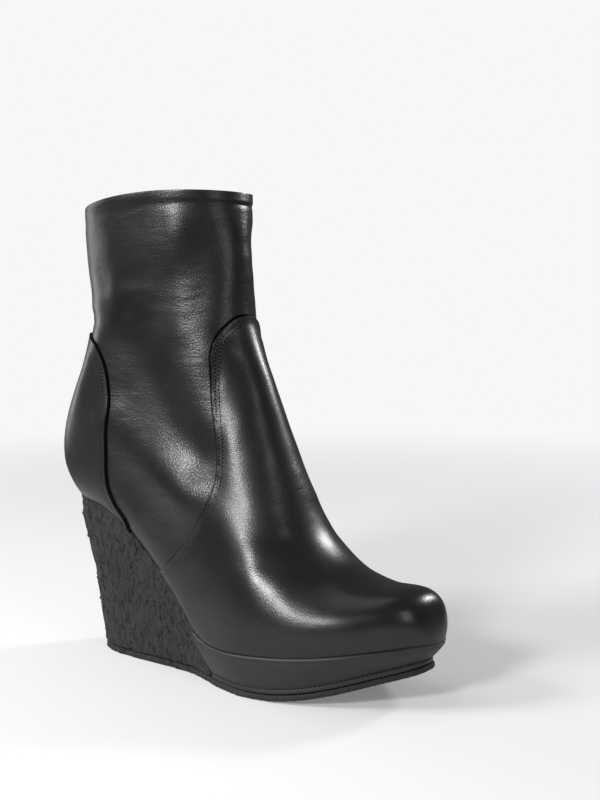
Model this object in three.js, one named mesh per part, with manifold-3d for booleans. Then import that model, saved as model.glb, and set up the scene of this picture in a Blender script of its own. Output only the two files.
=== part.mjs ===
// Wedge ankle boot, the right one of a pair: a hollow leather upper with a vamp and a counter laid over it, a
// leather-covered platform, a full wedge heel, a thin outsole and an insole.
// Millimetres, +Z up, toe towards +X, inner (medial) side towards +Y. The sole rests on Z = 0.
import * as THREE from "three";
import { mergeVertices } from "three/addons/utils/BufferGeometryUtils.js";
import Module from "manifold-3d";

const wasm = await Module();
wasm.setup();

// Driving dimensions
const BOOT_LENGTH = 239; // back of the counter to the tip of the toe
const BALL_WIDTH = 83; // upper at its widest, across the ball
const HEEL_HEIGHT = 87; // floor to the underside of the upper at the seat
const PLATFORM_HEIGHT = 19.5; // floor to the underside of the upper at the ball
const TOE_SPRING = 10; // rise of the upper's underside from the ball to the tip
const SOLE_SPRING = 15; // rise of the outsole's underside from the ball to the tip
const INSTEP_HEIGHT = 123.5; // top of the instep above the platform
const SHAFT_HEIGHT = 168; // seat to collar
const COLLAR_LENGTH = 106; // opening, front to back, outside
const COLLAR_WIDTH = 72; // opening, side to side, outside
const WALL = 1.8; // upper leather with its lining
const OVERLAY = 1.1; // leather of vamp and counter
const CLEARANCE = 0.3; // between pieces that touch
const RIM_CROWN = 0.6; // folded collar edge, above its two sides
const OUTSOLE = 3.2; // outsole thickness
const INSOLE = 3; // insole thickness
const INSOLE_INSET = 7; // insole's edge, inside the sole's upper edge
const MARGIN = 12; // upper turned in under the insole
const FEATHER = 3; // sole's upper edge, above the upper's underside
const LIP = 0.7; // sole's upper edge, outside the upper
const LEAN = 6; // how far the sole's sides come in towards the floor
const HEEL_UNDERCUT = 20.5; // how far the wedge's back leans forward, seat to floor
const HOLLOW = 1.8; // how far the wedge's sides and back are hollow at mid height

// Mesh density
const QUARTER = 8; // faces in a quarter of a section
const RINGS = 33; // sections of the mesh, evenly over the table's rows
const SMALLEST = 0.02; // edges shorter than this are closed up

// The last, from toe to collar. Each section lies in a plane across the boot, through a point of the line
// under and behind the foot and a point of the line over and before it. Where those points lie is a share
// of the named sizes: along of BOOT_LENGTH, collar of COLLAR_LENGTH, spring of TOE_SPRING, rise of the
// seat's height above the platform, instep of INSTEP_HEIGHT and shaft of SHAFT_HEIGHT. Widths are shares
// of half the ball's width, or of half the collar's as far as leg says. Centre is the middle's shift to
// the inner side, widest the height of the widest place between the two points, and low and high are the
// squareness of the section below and above it. Lift is how far the sides of a section stand above its
// plane, as a share of SHAFT_HEIGHT.
const SECTIONS = [
  { name: "tip", under: { along: 0.9995, spring: 1.02 }, over: { along: 1, spring: 1.12 },
    lateral: 0.01, medial: 0.01, centre: 0.26, widest: 0.5, low: 2.2, high: 2.2, leg: 0, lift: 0 },
  { name: "toe edge", under: { along: 0.992, spring: 0.98 }, over: { along: 1, spring: 1, instep: 0.055 },
    lateral: 0.2, medial: 0.2, centre: 0.25, widest: 0.45, low: 3, high: 2.4, leg: 0, lift: 0 },
  { name: "toe front", under: { along: 0.968, spring: 0.9 },
    over: { along: 0.989, spring: 0.97, instep: 0.166 },
    lateral: 0.39, medial: 0.4, centre: 0.23, widest: 0.4, low: 4, high: 2.4, leg: 0, lift: 0 },
  { name: "toe cap", under: { along: 0.93, spring: 0.78 }, over: { along: 0.96, spring: 0.85, instep: 0.226 },
    lateral: 0.57, medial: 0.58, centre: 0.19, widest: 0.36, low: 5, high: 2.4, leg: 0, lift: 0 },
  { name: "toe box", under: { along: 0.873, spring: 0.58 }, over: { along: 0.898, spring: 0.6, instep: 0.246 },
    lateral: 0.75, medial: 0.77, centre: 0.125, widest: 0.34, low: 6, high: 2.35, leg: 0, lift: 0 },
  { name: "vamp point", under: { along: 0.798, spring: 0.32 },
    over: { along: 0.829, spring: 0.4, instep: 0.285 },
    lateral: 0.885, medial: 0.91, centre: 0.06, widest: 0.32, low: 7, high: 2.2, leg: 0, lift: 0 },
  { name: "joint", under: { along: 0.716, spring: 0.14 }, over: { along: 0.759, spring: 0.15, instep: 0.393 },
    lateral: 0.97, medial: 0.97, centre: 0.02, widest: 0.28, low: 7, high: 2.05, leg: 0, lift: 0 },
  { name: "ball", under: { along: 0.637, spring: 0.02 }, over: { along: 0.699, instep: 0.574 },
    lateral: 1, medial: 0.955, centre: 0, widest: 0.22, low: 7, high: 1.9, leg: 0, lift: 0 },
  { name: "behind the ball", under: { along: 0.562 }, over: { along: 0.652, instep: 0.777 },
    lateral: 0.94, medial: 0.88, centre: 0, widest: 0.19, low: 7, high: 1.85, leg: 0, lift: 0 },
  { name: "waist", under: { along: 0.508, rise: 0.04 }, over: { along: 0.609, instep: 1 },
    lateral: 0.86, medial: 0.82, centre: 0, widest: 0.18, low: 7, high: 1.85, leg: 0, lift: 0 },
  { name: "arch", under: { along: 0.456, rise: 0.216 },
    over: { along: 0.572, rise: 0.5, instep: 0.5, shaft: 0.294 },
    lateral: 0.8, medial: 0.775, centre: 0, widest: 0.2, low: 7, high: 1.85, leg: 0, lift: 0 },
  { name: "instep", under: { along: 0.39, rise: 0.417 },
    over: { along: 0.42, collar: 0.27, rise: 0.8, instep: 0.2, shaft: 0.51 },
    lateral: 0.785, medial: 0.76, centre: 0, widest: 0.28, low: 7, high: 1.9, leg: 0.15, lift: 0 },
  { name: "seat front", under: { along: 0.308, rise: 0.64 },
    over: { along: 0.295, collar: 0.534, rise: 1, shaft: 0.673 },
    lateral: 0.795, medial: 0.775, centre: 0, widest: 0.34, low: 6.5, high: 2, leg: 0.3, lift: 0 },
  { name: "seat", under: { along: 0.214, rise: 0.885 },
    over: { along: 0.295, collar: 0.533, rise: 1, shaft: 0.75 },
    lateral: 0.82, medial: 0.81, centre: 0, widest: 0.38, low: 6, high: 2, leg: 0.5, lift: 0 },
  { name: "seat back", under: { along: 0.123, rise: 0.967 },
    over: { along: 0.295, collar: 0.53, rise: 1, shaft: 0.804 },
    lateral: 0.845, medial: 0.84, centre: 0, widest: 0.42, low: 5, high: 2, leg: 0.65, lift: 0 },
  { name: "heel edge", under: { along: 0.064, rise: 1 },
    over: { along: 0.295, collar: 0.526, rise: 1, shaft: 0.848 },
    lateral: 0.87, medial: 0.87, centre: 0, widest: 0.45, low: 3.6, high: 2, leg: 0.8, lift: 0 },
  { name: "heel back", under: { along: -0.005, rise: 1, shaft: 0.101 },
    over: { along: 0.295, collar: 0.522, rise: 1, shaft: 0.887 },
    lateral: 0.9, medial: 0.9, centre: 0, widest: 0.47, low: 2.6, high: 2.05, leg: 0.9, lift: 0.002 },
  { name: "heel top", under: { along: 0.017, rise: 1, shaft: 0.25 },
    over: { along: 0.295, collar: 0.516, rise: 1, shaft: 0.917 },
    lateral: 0.925, medial: 0.925, centre: 0, widest: 0.48, low: 2.35, high: 2.1, leg: 1, lift: 0.005 },
  { name: "counter", under: { along: 0.16, collar: -0.186, rise: 1, shaft: 0.42 },
    over: { along: 0.295, collar: 0.511, rise: 1, shaft: 0.94 },
    lateral: 0.945, medial: 0.945, centre: 0, widest: 0.49, low: 2.2, high: 2.1, leg: 1, lift: 0.009 },
  { name: "ankle", under: { along: 0.295, collar: -0.435, rise: 1, shaft: 0.607 },
    over: { along: 0.295, collar: 0.507, rise: 1, shaft: 0.964 },
    lateral: 0.965, medial: 0.965, centre: 0, widest: 0.5, low: 2.15, high: 2.1, leg: 1, lift: 0.01 },
  { name: "shaft", under: { along: 0.295, collar: -0.489, rise: 1, shaft: 0.81 },
    over: { along: 0.295, collar: 0.504, rise: 1, shaft: 0.982 },
    lateral: 0.985, medial: 0.985, centre: 0, widest: 0.5, low: 2.1, high: 2.1, leg: 1, lift: 0.014 },
  { name: "collar", under: { along: 0.295, collar: -0.493, rise: 1, shaft: 0.962 },
    over: { along: 0.295, collar: 0.5, rise: 1, shaft: 1.009 },
    lateral: 1, medial: 1, centre: 0, widest: 0.5, low: 2.1, high: 2.1, leg: 1, lift: 0.018 },
];

// Edges of the overlays and the joint of platform and wedge, as seen from the side: shares as above.
const VAMP_EDGE = [
  { along: 0.569, rise: 1, shaft: 0.629 },
  { along: 0.533, rise: 1, shaft: 0.624 },
  { along: 0.522, rise: 1, shaft: 0.583 },
  { along: 0.508, rise: 1, shaft: 0.536 },
  { along: 0.504, rise: 1, shaft: 0.467 },
  { along: 0.513, rise: 1, shaft: 0.358 },
  { along: 0.531, rise: 1, shaft: 0.236 },
  { along: 0.543, rise: 1, shaft: 0.125 },
  { along: 0.536, rise: 1, shaft: 0.054 },
  { along: 0.516, rise: 0.975 },
  { along: 0.482, rise: 0.804 },
  { along: 0.446, rise: 0.670 },
  { along: 0.390, rise: 0.498 },
  { along: 0.386, rise: 0.44 },
  { along: 0.386, rise: 0.2 },
];
const COUNTER_EDGE = [
  { along: 0.033, rise: 1, shaft: 0.565 },
  { along: 0.130, rise: 1, shaft: 0.554 },
  { along: 0.166, rise: 1, shaft: 0.532 },
  { along: 0.192, rise: 1, shaft: 0.512 },
  { along: 0.209, rise: 1, shaft: 0.481 },
  { along: 0.224, rise: 1, shaft: 0.435 },
  { along: 0.236, rise: 1, shaft: 0.370 },
  { along: 0.243, rise: 1, shaft: 0.310 },
  { along: 0.241, rise: 1, shaft: 0.254 },
  { along: 0.231, rise: 1, shaft: 0.187 },
  { along: 0.223, rise: 1, shaft: 0.113 },
  { along: 0.223, rise: 1, shaft: 0.065 },
  { along: 0.228, rise: 1, shaft: 0.030 },
  { along: 0.243, rise: 0.972 },
  { along: 0.270, rise: 0.874 },
  { along: 0.276, rise: 0.8 },
  { along: 0.276, rise: 0.5 },
];
// Where the platform's cover meets the wedge: from the feather to the floor, shares of BOOT_LENGTH.
const JOINT_TOP = 0.497;
const JOINT_FLOOR = 0.55;

// The sole from heel to toe: in is how far its side comes in towards the floor, as a share of LEAN, spring
// how much of SOLE_SPRING its underside has, and hollow how much of HOLLOW its side has.
const SOLE = [
  { along: 0, in: 0.8, spring: 0, hollow: 1 },
  { along: 0.2, in: 0.9, spring: 0, hollow: 1 },
  { along: 0.38, in: 1.15, spring: 0, hollow: 0.7 },
  { along: 0.5, in: 0.6, spring: 0, hollow: 0 },
  { along: 0.62, in: 0.65, spring: 0, hollow: 0 },
  { along: 0.69, in: 0.8, spring: 0.02, hollow: 0 },
  { along: 0.77, in: 0.9, spring: 0.2, hollow: 0 },
  { along: 0.84, in: 0.95, spring: 0.45, hollow: 0 },
  { along: 0.92, in: 1, spring: 0.8, hollow: 0 },
  { along: 1, in: 1, spring: 1.1, hollow: 0 },
];

// A point of the side view, from its shares of the named sizes.
function place({ along = 0, collar = 0, spring = 0, rise = 0, instep = 0, shaft = 0 }) {
  return new THREE.Vector3(
    along * BOOT_LENGTH + collar * COLLAR_LENGTH,
    0,
    PLATFORM_HEIGHT + spring * TOE_SPRING + rise * (HEEL_HEIGHT - PLATFORM_HEIGHT)
      + instep * INSTEP_HEIGHT + shaft * SHAFT_HEIGHT,
  );
}

// A smooth curve through rows of a table; row i lies at share i / (rows - 1).
const through = (points) => new THREE.CatmullRomCurve3(points, false, "centripetal");

const underLine = through(SECTIONS.map((s) => place(s.under)));
const overLine = through(SECTIONS.map((s) => place(s.over)));
const halfWidth = (share, leg) => (share * THREE.MathUtils.lerp(BALL_WIDTH, COLLAR_WIDTH, leg)) / 2;
const girthLine = through(SECTIONS.map((s) => new THREE.Vector3(
  halfWidth(s.lateral, s.leg), halfWidth(s.medial, s.leg), (s.centre * BALL_WIDTH) / 2)));
const formLine = through(SECTIONS.map((s) => new THREE.Vector3(s.widest, s.low, s.high)));
const liftLine = through(SECTIONS.map((s, i) => new THREE.Vector3(i, s.lift * SHAFT_HEIGHT, 0)));

// One closed section of the last, from the point under the foot round by the lateral side.
function section(share) {
  const under = underLine.getPoint(share);
  const over = overLine.getPoint(share);
  const girth = girthLine.getPoint(share);
  const form = formLine.getPoint(share);
  const lift = liftLine.getPoint(share).y;
  const ring = [];
  for (let i = 0; i < 4 * QUARTER; i++) {
    const turn = (i / (4 * QUARTER)) * 2 * Math.PI;
    const low = Math.cos(turn) > 0;
    const power = 2 / (low ? form.y : form.z);
    const up = Math.abs(Math.cos(turn)) ** power;
    const out = Math.abs(Math.sin(turn)) ** power;
    const height = low ? form.x * (1 - up) : form.x + (1 - form.x) * up;
    const point = under.clone().lerp(over, height);
    point.y = girth.z + (Math.sin(turn) > 0 ? -girth.x : girth.y) * out;
    point.z += lift * Math.sin(turn) ** 2;
    ring.push(point);
  }
  return ring;
}

const lastRings = Array.from({ length: RINGS }, (_, i) => section(i / (RINGS - 1)));

// The last's rings moved out along the surface by a distance, or in where it is negative.
function offsetRings(distance) {
  const around = 4 * QUARTER;
  return lastRings.map((ring, i) => ring.map((point, j) => {
    const back = lastRings[Math.max(i - 1, 0)][j];
    const ahead = lastRings[Math.min(i + 1, RINGS - 1)][j];
    const across = ring[(j + 1) % around].clone().sub(ring[(j + around - 1) % around]);
    const normal = across.cross(ahead.clone().sub(back)).normalize();
    if (i === 0) normal.set(1, 0, 0);
    if (i === RINGS - 1) normal.setZ(0).normalize();
    return point.clone().addScaledVector(normal, distance);
  }));
}

// Closed bodies from lists of points and faces. Points that coincide become one.
function solidOf(geometry) {
  geometry.deleteAttribute("normal");
  geometry.deleteAttribute("uv");
  const merged = mergeVertices(geometry, 1e-4);
  const index = [...merged.index.array];
  const faces = [];
  for (let i = 0; i < index.length; i += 3) {
    const [a, b, c] = index.slice(i, i + 3);
    if (a !== b && b !== c && c !== a) faces.push(a, b, c);
  }
  const solid = new wasm.Manifold(new wasm.Mesh({
    numProp: 3,
    vertProperties: merged.attributes.position.array,
    triVerts: new Uint32Array(faces),
  }));
  if (solid.volume() < 0) throw new Error("a body is inside out");
  return solid;
}

// A skin over a row of rings that have the same number of points, closed by a cap at each end.
function geometryOf(rings) {
  const around = rings[0].length;
  const points = rings.flat();
  const faces = [];
  for (let i = 0; i < rings.length - 1; i++) {
    for (let j = 0; j < around; j++) {
      const a = i * around + j;
      const b = i * around + ((j + 1) % around);
      const c = b + around;
      const d = a + around;
      faces.push(a, b, d, b, c, d);
    }
  }
  for (const start of [0, (rings.length - 1) * around]) {
    const ring = points.slice(start, start + around);
    const middle = points.length;
    points.push(ring.reduce((sum, p) => sum.add(p), new THREE.Vector3()).divideScalar(around));
    for (let j = 0; j < around; j++) {
      const next = start + ((j + 1) % around);
      faces.push(middle, start === 0 ? next : start + j, start === 0 ? start + j : next);
    }
  }
  const geometry = new THREE.BufferGeometry().setFromPoints(points);
  geometry.setIndex(faces);
  return geometry;
}

// The whole form of the last at an offset, closed at toe and collar.
const form = (distance) => solidOf(geometryOf(offsetRings(distance)));

// The upper's wall: outer rings, the crown of the collar's fold, then the inner rings back to the toe.
// Each toe end is closed by its own small cap.
function wallSolid() {
  const outer = offsetRings(0);
  const inner = offsetRings(-WALL);
  const crown = outer.at(-1).map((p, j) => p.clone().lerp(inner.at(-1)[j], 0.5)
    .add(new THREE.Vector3(0, 0, RIM_CROWN)));
  return solidOf(geometryOf([...outer, crown, ...inner.reverse()]));
}

// A side view's outline, points (x, z), as a solid right through the boot.
function throughBoot(outline, halfDepth = BALL_WIDTH) {
  const shape = new THREE.Shape(outline.map((p) => new THREE.Vector2(p.x, p.z)));
  const geometry = new THREE.ExtrudeGeometry(shape, { depth: 2 * halfDepth, bevelEnabled: false });
  geometry.rotateX(Math.PI / 2);
  geometry.translate(0, halfDepth, 0);
  return solidOf(geometry);
}

const FAR = 2 * (BOOT_LENGTH + SHAFT_HEIGHT);
const corner = (x, z) => new THREE.Vector3(x, 0, z);
const vampLine = through(VAMP_EDGE.map(place)).getPoints(3 * VAMP_EDGE.length);
const counterLine = through(COUNTER_EDGE.map(place)).getPoints(3 * COUNTER_EDGE.length);

// Underside of the upper where it stands on the sole: heights by distance from the heel's back.
const seatLine = underLine.getPoints(4 * SECTIONS.length)
  .filter((p) => p.z <= HEEL_HEIGHT + CLEARANCE)
  .sort((a, b) => a.x - b.x);
function seatHeight(x) {
  if (x <= seatLine[0].x) return seatLine[0].z;
  const i = seatLine.findIndex((p) => p.x >= x);
  if (i < 0) return seatLine.at(-1).z;
  const [a, b] = [seatLine[i - 1], seatLine[i]];
  return THREE.MathUtils.lerp(a.z, b.z, (x - a.x) / Math.max(b.x - a.x, 1e-6));
}

// The upper's edge at the feather on one side, as points from heel to toe: where the lines of the form's
// mesh pass that height. The sole's upper edge follows it a little outside.
function featherLine(side) {
  const rings = offsetRings(OVERLAY + CLEARANCE + LIP);
  const half = rings.map((ring) => Array.from({ length: 2 * QUARTER + 1 },
    (_, j) => ring[side > 0 ? (4 * QUARTER - j) % (4 * QUARTER) : j]));
  const above = (p) => p.z - seatHeight(p.x) - FEATHER;
  const edge = [];
  const cross = (a, b) => {
    if (above(a) <= 0 !== above(b) <= 0) edge.push(a.clone().lerp(b, above(a) / (above(a) - above(b))));
  };
  half.forEach((points, i) => points.forEach((p, j) => {
    if (j > 0) cross(points[j - 1], p);
    if (i > 0) cross(half[i - 1][j], p);
  }));
  return edge.sort((a, b) => a.x - b.x);
}

// A value of a table at a share, straight between its rows.
function fromTable(table, column, share) {
  const i = Math.max(1, table.findIndex((row) => row.along >= share));
  const [a, b] = share > table.at(-1).along ? [table.at(-2), table.at(-1)] : [table[i - 1], table[i]];
  return THREE.MathUtils.lerp(a[column], b[column], (share - a.along) / (b.along - a.along));
}

// The sole's two edges at the same stations from heel to toe, evenly turned round both ends.
const SOLE_STATIONS = 40;
const END_HALF = 0.4 * BALL_WIDTH; // half-width that the lean is measured by where the sole ends
const lateralFeather = featherLine(-1);
const medialFeather = featherLine(1);
const soleBack = Math.min(lateralFeather[0].x, medialFeather[0].x);
const soleTip = Math.max(lateralFeather.at(-1).x, medialFeather.at(-1).x);
function sideAt(edge, x) {
  const i = edge.findIndex((p) => p.x >= x);
  if (i < 1) return edge.at(i).y;
  const [a, b] = [edge[i - 1], edge[i]];
  return THREE.MathUtils.lerp(a.y, b.y, (x - a.x) / Math.max(b.x - a.x, 1e-6));
}
const undersideLift = (share) => Math.max(0, fromTable(SOLE, "spring", share)) * SOLE_SPRING;

// The stations of the sole: upper edge and lower edge on both sides.
const soleStations = Array.from({ length: SOLE_STATIONS + 1 }, (_, i) => {
  const share = (1 - Math.cos((Math.PI * (i + 1)) / (SOLE_STATIONS + 2))) / 2;
  const x = THREE.MathUtils.lerp(soleBack, soleTip, share);
  const low = THREE.MathUtils.lerp(soleBack + HEEL_UNDERCUT, soleTip - LEAN, share);
  const inward = fromTable(SOLE, "in", share) * LEAN;
  const lateral = sideAt(lateralFeather, x);
  const medial = sideAt(medialFeather, x);
  const middle = (lateral + medial) / 2;
  const narrow = 1 - inward / Math.max((medial - lateral) / 2, END_HALF);
  return {
    x, low, lateral, medial,
    lowLateral: middle + (lateral - middle) * narrow,
    lowMedial: middle + (medial - middle) * narrow,
    lift: undersideLift(share),
    hollow: Math.max(0, fromTable(SOLE, "hollow", share)),
  };
});

// A layer of the sole between two levels, which are functions of a station. A hollow one has a level
// between them.
function layer(top, bottom, hollow = 0) {
  const levels = [top, bottom];
  if (hollow) levels.splice(1, 0, (s) => waist(top(s), bottom(s), hollow * s.hollow));
  const rings = soleStations.map((s) => {
    const edges = levels.map((level) => level(s));
    return [
      ...edges.map((e) => new THREE.Vector3(e.x, e.medial, e.z)).reverse(),
      ...edges.map((e) => new THREE.Vector3(e.x, e.lateral, e.z)),
    ];
  });
  return solidOf(geometryOf(rings));
}

// The level half-way between two others, drawn in by the hollow.
function waist(top, bottom, hollow) {
  const half = (top.medial - top.lateral + bottom.medial - bottom.lateral) / 4;
  const middle = (top.medial + top.lateral + bottom.medial + bottom.lateral) / 4;
  const narrow = half * (1 - hollow / Math.max(half, END_HALF));
  const x = (top.x + bottom.x) / 2 + hollow;
  return { x, lateral: middle - narrow, medial: middle + narrow, z: (top.z + bottom.z) / 2 };
}

// The sole's upper and lower edge at a station.
const featherEdge = (s) => ({ x: s.x, lateral: s.lateral, medial: s.medial, z: seatHeight(s.x) + FEATHER });
const lowEdge = (up) => (s) => ({ x: s.low, lateral: s.lowLateral, medial: s.lowMedial, z: s.lift + up });

// The skins between which the vamp and the counter lie.
const overlayOuter = form(OVERLAY + CLEARANCE);
const overlayInner = form(CLEARANCE);

// What the vamp and the counter cover, seen from the side, grown by a distance.
const vampArea = (grow) => throughBoot([
  corner(FAR, vampLine[0].z + grow),
  ...vampLine.map((p) => corner(p.x - 1.5 * grow, p.z + grow)),
  corner(vampLine.at(-1).x - 1.5 * grow, -FAR),
  corner(FAR, -FAR),
]);
const counterArea = (grow) => throughBoot([
  corner(-FAR, counterLine[0].z + grow),
  ...counterLine.map((p) => corner(p.x + 1.5 * grow, p.z + grow)),
  corner(counterLine.at(-1).x + 1.5 * grow, -FAR),
  corner(-FAR, -FAR),
]);

// What the sole leaves clear: the upper, and its overlays where they are.
const overlaid = vampArea(CLEARANCE).add(counterArea(CLEARANCE));
const standsOn = form(CLEARANCE).add(form(OVERLAY + 2 * CLEARANCE).intersect(overlaid));

// The sole's outline drawn in by a distance, at a height above the upper's underside.
const inset = (distance, up) => (s) => {
  const half = (s.medial - s.lateral) / 2;
  const middle = (s.medial + s.lateral) / 2;
  const width = half * (1 - distance / Math.max(half, END_HALF));
  const share = (s.x - soleBack) / (soleTip - soleBack);
  const x = THREE.MathUtils.lerp(soleBack + distance, soleTip - distance, share);
  return { x, lateral: middle - width, medial: middle + width, z: seatHeight(x) + up };
};

// The upper is open underneath, up to the margin that is turned in.
const makeUpper = () => wallSolid().subtract(layer(inset(MARGIN, 2 * WALL), inset(MARGIN, -WALL)));
const makeVamp = () => overlayOuter.subtract(overlayInner).intersect(vampArea(0));
const makeCounter = () => overlayOuter.subtract(overlayInner).intersect(counterArea(0));

// The insole fills the hollow's floor, with upright edges.
function makeInsole() {
  const inside = WALL + CLEARANCE;
  return form(-inside).intersect(layer(inset(INSOLE_INSET, inside + INSOLE), inset(INSOLE_INSET, 0)));
}

// The block under the upper, split into wedge and platform along the joint.
const block = layer(featherEdge, lowEdge(OUTSOLE + CLEARANCE), HOLLOW).subtract(standsOn);
const joint = (shift) => [
  corner(JOINT_TOP * BOOT_LENGTH + shift, HEEL_HEIGHT),
  corner(JOINT_TOP * BOOT_LENGTH + shift, PLATFORM_HEIGHT + FEATHER),
  corner(JOINT_FLOOR * BOOT_LENGTH + shift, 0),
];
const makePlatform = () => block.intersect(throughBoot([
  ...joint(CLEARANCE / 2),
  corner(FAR, 0),
  corner(FAR, HEEL_HEIGHT),
]));
const makeWedge = () => block.intersect(throughBoot([
  corner(-FAR, FAR),
  corner(JOINT_TOP * BOOT_LENGTH - CLEARANCE / 2, FAR),
  ...joint(-CLEARANCE / 2),
  corner(-FAR, 0),
]));
const makeOutsole = () => layer(lowEdge(OUTSOLE), lowEdge(0));

// Materials
const leather = new THREE.MeshStandardMaterial({ color: 0x1b1b1d, roughness: 0.42, metalness: 0 });
const lining = new THREE.MeshStandardMaterial({ color: 0x2a2623, roughness: 0.8, metalness: 0 });
const crackle = new THREE.MeshStandardMaterial({ color: 0x202122, roughness: 0.85, metalness: 0 });
const rubber = new THREE.MeshStandardMaterial({ color: 0x1d1d1e, roughness: 0.8, metalness: 0 });

function meshOf(name, solid, material) {
  const made = solid.simplify(SMALLEST).getMesh();
  const geometry = new THREE.BufferGeometry();
  geometry.setAttribute("position", new THREE.BufferAttribute(made.vertProperties, 3));
  geometry.setIndex(new THREE.BufferAttribute(made.triVerts, 1));
  geometry.computeVertexNormals();
  const mesh = new THREE.Mesh(geometry, material);
  mesh.name = name;
  return mesh;
}

const boot = new THREE.Group();
boot.name = "boot";
boot.add(
  meshOf("upper", makeUpper(), leather),
  meshOf("vamp", makeVamp(), leather),
  meshOf("counter", makeCounter(), leather),
  meshOf("insole", makeInsole(), lining),
  meshOf("platform", makePlatform(), leather),
  meshOf("wedge", makeWedge(), crackle),
  meshOf("outsole", makeOutsole(), rubber),
);

// The origin is under the middle of the whole boot, on the floor.
const box = new THREE.Box3().setFromObject(boot);
const middle = box.getCenter(new THREE.Vector3());
boot.position.set(-middle.x, -middle.y, -box.min.z);

export default boot;
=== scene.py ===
# %% [markdown]
# A wedge ankle boot of plain black leather, the right one of a pair. Its solids come from the CAD model and set
# every size. Here they get their finish: smooth leather with soft folds, rows of stitches, a folded collar, a
# leather-covered platform and a wedge with a rough, streaky cover. The CAD model is loaded first, because every
# piece takes its place and its size from it.

import math
import random

import bmesh
import bpy
import numpy as np
from mathutils import Matrix, Vector, kdtree, noise
from mathutils.bvhtree import BVHTree


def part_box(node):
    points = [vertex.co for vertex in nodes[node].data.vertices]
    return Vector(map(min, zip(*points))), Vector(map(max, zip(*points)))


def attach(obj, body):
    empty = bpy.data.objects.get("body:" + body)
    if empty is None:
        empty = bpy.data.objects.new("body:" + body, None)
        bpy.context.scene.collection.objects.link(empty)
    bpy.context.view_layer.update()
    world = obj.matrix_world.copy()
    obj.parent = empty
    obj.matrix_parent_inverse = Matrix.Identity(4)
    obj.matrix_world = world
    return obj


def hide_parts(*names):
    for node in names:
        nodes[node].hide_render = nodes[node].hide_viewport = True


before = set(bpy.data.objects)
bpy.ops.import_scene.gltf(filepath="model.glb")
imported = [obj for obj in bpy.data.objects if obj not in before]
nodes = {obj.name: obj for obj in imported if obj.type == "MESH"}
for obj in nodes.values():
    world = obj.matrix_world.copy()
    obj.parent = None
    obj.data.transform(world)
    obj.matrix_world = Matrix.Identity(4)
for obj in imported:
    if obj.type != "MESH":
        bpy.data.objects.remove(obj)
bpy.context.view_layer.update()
MM = 0.001

# The back of the last, which lies a little inside the counter's back. Lengths along the boot start there.
COUNTER_BULGE = 2.4 * MM
LAST_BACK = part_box("counter")[0].x + COUNTER_BULGE
print("last's back at", round(LAST_BACK, 4), "nodes", sorted(nodes))


def along(x_mm, z_mm, y_mm=0.0):
    """A point from its millimetres: from the last's back, above the floor and towards the inner side."""
    return Vector((LAST_BACK + x_mm * MM, y_mm * MM, z_mm * MM))


# %% [markdown]
# The photograph looks at the outer side and the toe, with a longish lens from about two thirds of a metre away and
# from below the collar, so the collar is seen edge on. The camera tilts down slightly and needs no shift.

# %% Camera
CAMERA_PLACE = along(517.8, 195.1, -472.9)
CAMERA_TURN = math.radians(126.87)  # heading in the floor's plane, from +X
CAMERA_TILT = math.radians(4.533)  # downwards
LENS = 51.75
SENSOR = 36.0

camera_data = bpy.data.cameras.new("camera")
camera_data.sensor_fit = "VERTICAL"
camera_data.sensor_height = SENSOR
camera_data.lens = LENS
camera = bpy.data.objects.new("camera", camera_data)
bpy.context.scene.collection.objects.link(camera)
heading = Matrix.Rotation(CAMERA_TURN, 3, "Z") @ Matrix.Rotation(CAMERA_TILT, 3, "Y") @ Vector((1, 0, 0))
camera.location = CAMERA_PLACE
camera.rotation_euler = heading.to_track_quat("-Z", "Y").to_euler()
bpy.context.scene.camera = camera
print("camera at", [round(c, 3) for c in camera.location], "looks along", [round(c, 3) for c in heading])

# %% [markdown]
# The studio is pale all round, with six soft panels. Black leather hardly shows its own colour, it shows what it
# mirrors. So each panel stands where a bright patch of the photograph asks for it: on the shaft, the quarter and
# the toe. World and floor are pale where the camera looks at them and dim where the leather mirrors them, because
# an evenly bright room would leave no dark between the patches.

# %% Floor, world and lights
PALE = 0.93
scene = bpy.context.scene
scene.view_settings.view_transform = "Standard"
scene.view_settings.look = "None"


def fresh_material(name):
    """A material with nodes, its tree and its Principled shader."""
    material = bpy.data.materials.new(name)
    material.use_nodes = True
    return material, material.node_tree, material.node_tree.nodes["Principled BSDF"]


FLOOR_HALF = 6.0
FLOOR_GLOW = 0.18  # share of the floor's light that is even, as under a bright studio sky
floor_shape = bmesh.new()
bmesh.ops.create_grid(floor_shape, x_segments=1, y_segments=1, size=FLOOR_HALF)
floor_mesh = bpy.data.meshes.new("floor")
floor_shape.to_mesh(floor_mesh)
floor_shape.free()
floor = bpy.data.objects.new("floor", floor_mesh)
scene.collection.objects.link(floor)
floor_paint, tree, shader = fresh_material("pale floor")
floor_mesh.materials.append(floor_paint)
place = tree.nodes.new("ShaderNodeTexCoord")
distance = tree.nodes.new("ShaderNodeVectorMath")
distance.operation = "LENGTH"
tree.links.new(place.outputs["Object"], distance.inputs[0])
far = tree.nodes.new("ShaderNodeMapRange")
far.interpolation_type = "SMOOTHSTEP"
far.inputs["From Min"].default_value = 0.25
far.inputs["From Max"].default_value = 1.3
tree.links.new(distance.outputs["Value"], far.inputs["Value"])
for socket, near_value, far_value in (("Base Color", 0.7, 0.0), ("Emission Color", FLOOR_GLOW, PALE)):
    blend = tree.nodes.new("ShaderNodeMix")
    blend.data_type = "RGBA"
    blend.inputs["A"].default_value = (near_value, near_value, near_value, 1)
    blend.inputs["B"].default_value = (far_value, far_value, far_value, 1)
    tree.links.new(far.outputs["Result"], blend.inputs["Factor"])
    tree.links.new(blend.outputs["Result"], shader.inputs[socket])
looked_at = tree.nodes.new("ShaderNodeLightPath")
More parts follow.
